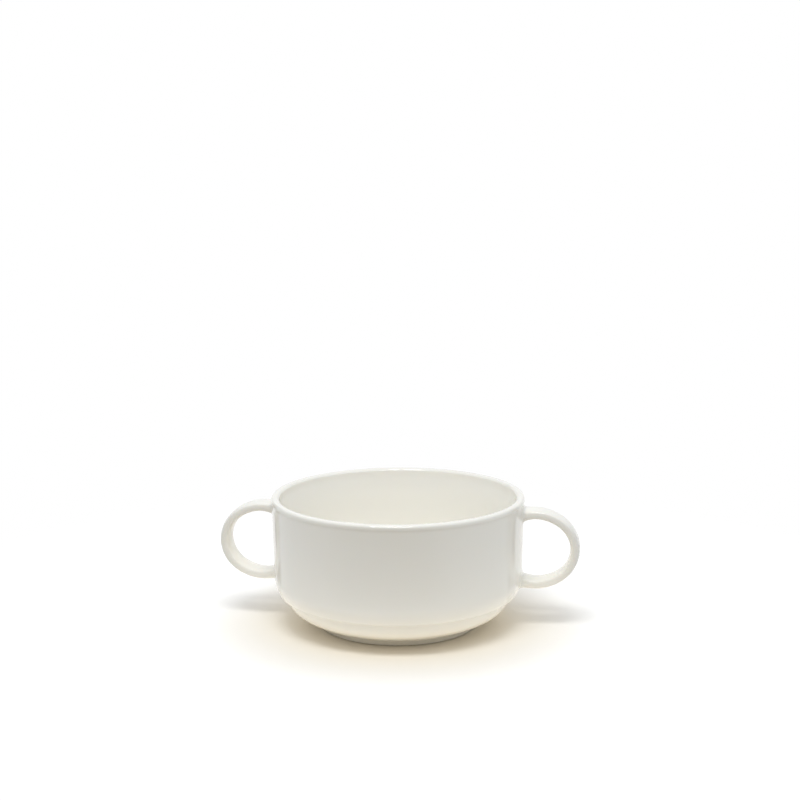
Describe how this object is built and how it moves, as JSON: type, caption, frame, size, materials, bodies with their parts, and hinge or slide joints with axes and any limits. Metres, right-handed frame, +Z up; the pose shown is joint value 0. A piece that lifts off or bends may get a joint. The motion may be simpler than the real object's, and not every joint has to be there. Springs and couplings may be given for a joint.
{
  "type": "two-handled soup bowl",
  "caption": "Round stacking soup bowl in glazed porcelain, with a flat strap ear on each side, a stepped lower wall and a foot ring.",
  "frame": {"origin": "centre of the foot ring, on the surface that the bowl stands on", "axes": "+Z up along the bowl's axis, +X towards one ear, +Y across both ears"},
  "size_m": [0.1584, 0.11, 0.0568],
  "materials": {
    "glazed_porcelain": "gloss ivory-white glaze, bare at the face of the foot ring"
  },
  "bodies": {
    "root": {"soup_bowl": "glazed_porcelain"}
  },
  "joints": []
}
